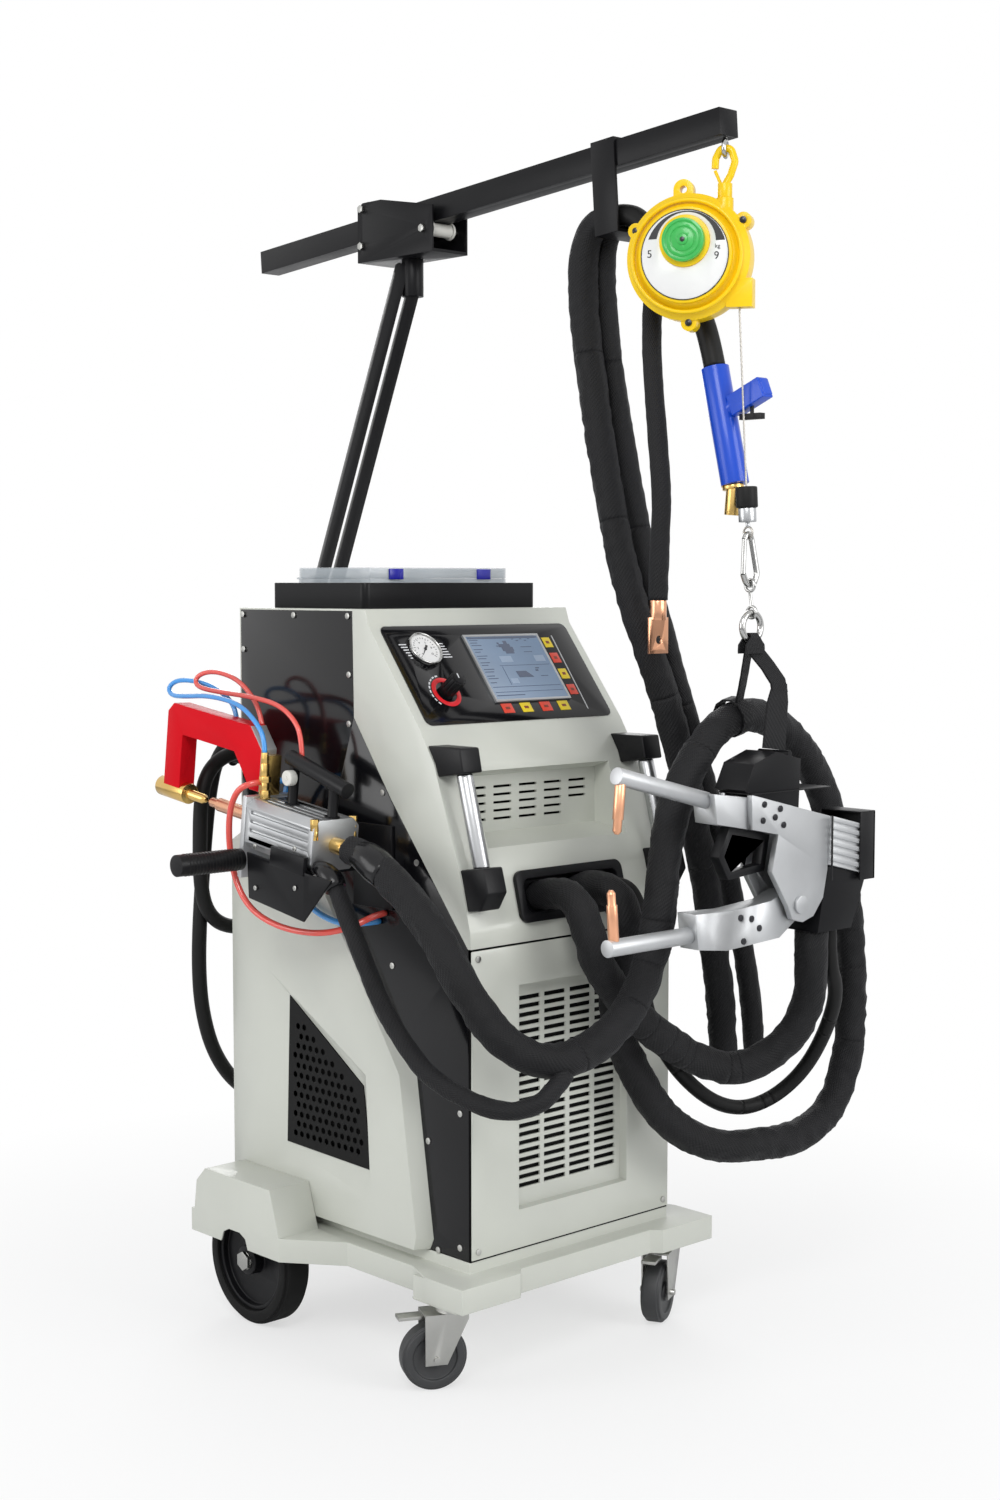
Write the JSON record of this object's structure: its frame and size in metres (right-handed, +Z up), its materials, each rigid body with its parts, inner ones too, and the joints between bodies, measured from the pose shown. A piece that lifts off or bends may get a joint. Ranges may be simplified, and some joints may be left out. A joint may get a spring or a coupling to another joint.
{
  "type": "spot welding machine",
  "caption": "Wheeled inverter spot welder with a slim cabinet, tilted console, mast, balancer arm, a hanging scissor gun and a stowed C-frame gun with sleeved hoses.",
  "frame": {"origin": "on the floor under the middle of the base", "axes": "+X to the machine's right seen from its front, +Y to its rear, +Z up"},
  "size_m": [0.9993, 1.2135, 1.8989],
  "materials": {
    "chassis_base": "cream powder coat",
    "rear_axle": "zinc plated",
    "cabinet_frame": "black powder coat",
    "upper_moulding": "cream powder coat",
    "lower_front_panel": "cream powder coat",
    "rear_top_cover": "cream powder coat",
    "side_trims": "gloss black",
    "side_shells": "cream powder coat",
    "side_grilles": "black",
    "tool_tray": "black",
    "console_plate": "satin black",
    "display_screen": "gloss",
    "pressure_gauge": "black case and white dial",
    "outlet_rim": "black",
    "grab_handles": "black brackets with bright tubes",
    "panel_screws": "black zinc",
    "power_unit": "plain",
    "mast_socket": "black",
    "parts_box": "translucent pale blue",
    "gun_cradle": "black",
    "cgun_cylinder": "finned extrusion",
    "cgun_arm": "red anodised",
    "cgun_brass_parts": "machined",
    "cgun_handles": "black",
    "cgun_hoses": "woven sleeve",
    "xgun_hose": "woven sleeve",
    "hanger_hoses": "woven sleeve",
    "air_tubes": "clear coloured tube",
    "mains_cable": "matt",
    "regulator_knob": "black",
    "parts_box_lid": "translucent pale blue",
    "left_wheel": "rubber tyre on a steel disc",
    "right_wheel": "rubber tyre on a steel disc",
    "left_caster_fork": "zinc plated",
    "left_caster_wheel": "grey-black",
    "right_caster_fork": "zinc plated",
    "right_caster_wheel": "grey-black",
    "mast_frame": "black",
    "boom_bracket": "black",
    "bracket_rollers": "zinc plated",
    "boom_beam": "black",
    "cable_hanger": "black",
    "hanger_cables": "woven sleeve",
    "earth_lug": "copper",
    "pull_gun_body": "gloss blue",
    "pull_gun_trigger": "black",
    "balancer_hook": "yellow",
    "balancer_housing": "yellow",
    "balancer_dial_plate": "white",
    "balancer_tension_knob": "green",
    "wire_rope": "bright strand",
    "carabiner": "bright",
    "sling": "black webbing",
    "xgun_frame": "bead blasted",
    "xgun_cylinder": "finned extrusion",
    "xgun_cover": "black",
    "xgun_upper_electrode": "copper",
    "xgun_jaw": "bead blasted",
    "xgun_lower_electrode": "copper",
    "cgun_ram": "copper"
  },
  "bodies": {
    "machine": {"chassis_base": "chassis_base", "rear_axle": "rear_axle", "cabinet_frame": "cabinet_frame", "upper_moulding": "upper_moulding", "lower_front_panel": "lower_front_panel", "rear_top_cover": "rear_top_cover", "side_trims": "side_trims", "side_shells": "side_shells", "side_grilles": "side_grilles", "tool_tray": "tool_tray", "console_plate": "console_plate", "display_screen": "display_screen", "pressure_gauge": "pressure_gauge", "outlet_rim": "outlet_rim", "grab_handles": "grab_handles", "panel_screws": "panel_screws", "power_unit": "power_unit", "mast_socket": "mast_socket", "parts_box": "parts_box", "gun_cradle": "gun_cradle", "cgun_cylinder": "cgun_cylinder", "cgun_arm": "cgun_arm", "cgun_brass_parts": "cgun_brass_parts", "cgun_handles": "cgun_handles", "cgun_hoses": "cgun_hoses", "xgun_hose": "xgun_hose", "hanger_hoses": "hanger_hoses", "air_tubes": "air_tubes", "mains_cable": "mains_cable"},
    "regulator": {"regulator_knob": "regulator_knob"},
    "box_lid": {"parts_box_lid": "parts_box_lid"},
    "left_rear_wheel": {"left_wheel": "left_wheel"},
    "right_rear_wheel": {"right_wheel": "right_wheel"},
    "left_swivel": {"left_caster_fork": "left_caster_fork"},
    "left_roller": {"left_caster_wheel": "left_caster_wheel"},
    "right_swivel": {"right_caster_fork": "right_caster_fork"},
    "right_roller": {"right_caster_wheel": "right_caster_wheel"},
    "mast": {"mast_frame": "mast_frame"},
    "carriage": {"boom_bracket": "boom_bracket", "bracket_rollers": "bracket_rollers"},
    "boom": {"boom_beam": "boom_beam", "cable_hanger": "cable_hanger", "hanger_cables": "hanger_cables", "earth_lug": "earth_lug", "pull_gun_body": "pull_gun_body"},
    "trigger": {"pull_gun_trigger": "pull_gun_trigger"},
    "balancer": {"balancer_hook": "balancer_hook", "balancer_housing": "balancer_housing", "balancer_dial_plate": "balancer_dial_plate"},
    "tension": {"balancer_tension_knob": "balancer_tension_knob"},
    "rope_end": {"wire_rope": "wire_rope", "carabiner": "carabiner", "sling": "sling"},
    "gun": {"xgun_frame": "xgun_frame", "xgun_cylinder": "xgun_cylinder", "xgun_cover": "xgun_cover", "xgun_upper_electrode": "xgun_upper_electrode"},
    "jaw": {"xgun_jaw": "xgun_jaw", "xgun_lower_electrode": "xgun_lower_electrode"},
    "ram": {"cgun_ram": "cgun_ram"}
  },
  "joints": [
    {"name": "regulator_turn", "type": "hinge", "parent": "machine", "child": "regulator", "pos_m": [-0.131, -0.12153, 1.03765], "axis": [0, -0.7878, 0.6159], "range_deg": [-150, 150]},
    {"name": "lid_hinge", "type": "hinge", "parent": "machine", "child": "box_lid", "pos_m": [0, 0.237, 1.208], "axis": [-1, 0, 0], "range_deg": [0, 95]},
    {"name": "left_wheel_spin", "type": "hinge", "parent": "machine", "child": "left_rear_wheel", "pos_m": [-0.274, 0.185, 0.105], "axis": [1, 0, 0], "continuous": true},
    {"name": "right_wheel_spin", "type": "hinge", "parent": "machine", "child": "right_rear_wheel", "pos_m": [0.274, 0.185, 0.105], "axis": [1, 0, 0], "continuous": true},
    {"name": "left_caster_swivel", "type": "hinge", "parent": "machine", "child": "left_swivel", "pos_m": [-0.23, -0.245, 0.12], "axis": [0, 0, 1], "continuous": true},
    {"name": "left_caster_roll", "type": "hinge", "parent": "left_swivel", "child": "left_roller", "pos_m": [-0.26123, -0.22921, 0.05], "axis": [-0.4512, -0.8924, 0], "continuous": true},
    {"name": "right_caster_swivel", "type": "hinge", "parent": "machine", "child": "right_swivel", "pos_m": [0.23, -0.245, 0.12], "axis": [0, 0, 1], "continuous": true},
    {"name": "right_caster_roll", "type": "hinge", "parent": "right_swivel", "child": "right_roller", "pos_m": [0.19856, -0.26037, 0.05], "axis": [0.4392, -0.8984, 0], "continuous": true},
    {"name": "mast_swivel", "type": "hinge", "parent": "machine", "child": "mast", "pos_m": [0, 0.327, 1.15], "axis": [0, 0, 1], "range_deg": [-30, 30]},
    {"name": "boom_swivel", "type": "hinge", "parent": "mast", "child": "carriage", "pos_m": [0.13237, 0.26806, 1.757], "axis": [0, 0, 1], "range_deg": [-25, 25], "deforming": ["hanger_hoses"]},
    {"name": "beam_slide", "type": "slide", "parent": "carriage", "child": "boom", "axis": [0, 0.9972, -0.0753], "range_m": [-0.2, 0.12]},
    {"name": "trigger_pull", "type": "slide", "parent": "boom", "child": "trigger", "axis": [0, 0, 1], "range_m": [0, 0.006], "stiffness_N_per_m": 500, "springref_m": -0.002},
    {"name": "balancer_turn", "type": "hinge", "parent": "boom", "child": "balancer", "pos_m": [0.13, -0.446, 1.84], "axis": [0, 0, 1], "range_deg": [-4, 22]},
    {"name": "tension_turn", "type": "hinge", "parent": "balancer", "child": "tension", "pos_m": [0.103, -0.401, 1.704], "axis": [-0.866, -0.5, 0], "range_deg": [-180, 180]},
    {"name": "rope_pull", "type": "slide", "parent": "balancer", "child": "rope_end", "axis": [0.0192, -0.0447, -0.9988], "range_m": [0, 0.3], "deforming": ["wire_rope", "xgun_hose", "cgun_hoses"]},
    {"name": "gun_turn", "type": "hinge", "parent": "rope_end", "child": "gun", "pos_m": [0.15, -0.488, 1.135], "axis": [0, 0, 1], "range_deg": [-30, 30], "deforming": ["sling"]},
    {"name": "xgun_close", "type": "hinge", "parent": "gun", "child": "jaw", "pos_m": [0.217, -0.5, 0.713], "axis": [0, 1, 0], "range_deg": [0, 11.3]},
    {"name": "cgun_press", "type": "slide", "parent": "machine", "child": "ram", "axis": [0, 0.9914, 0.1305], "range_m": [0, 0.01]}
  ]
}
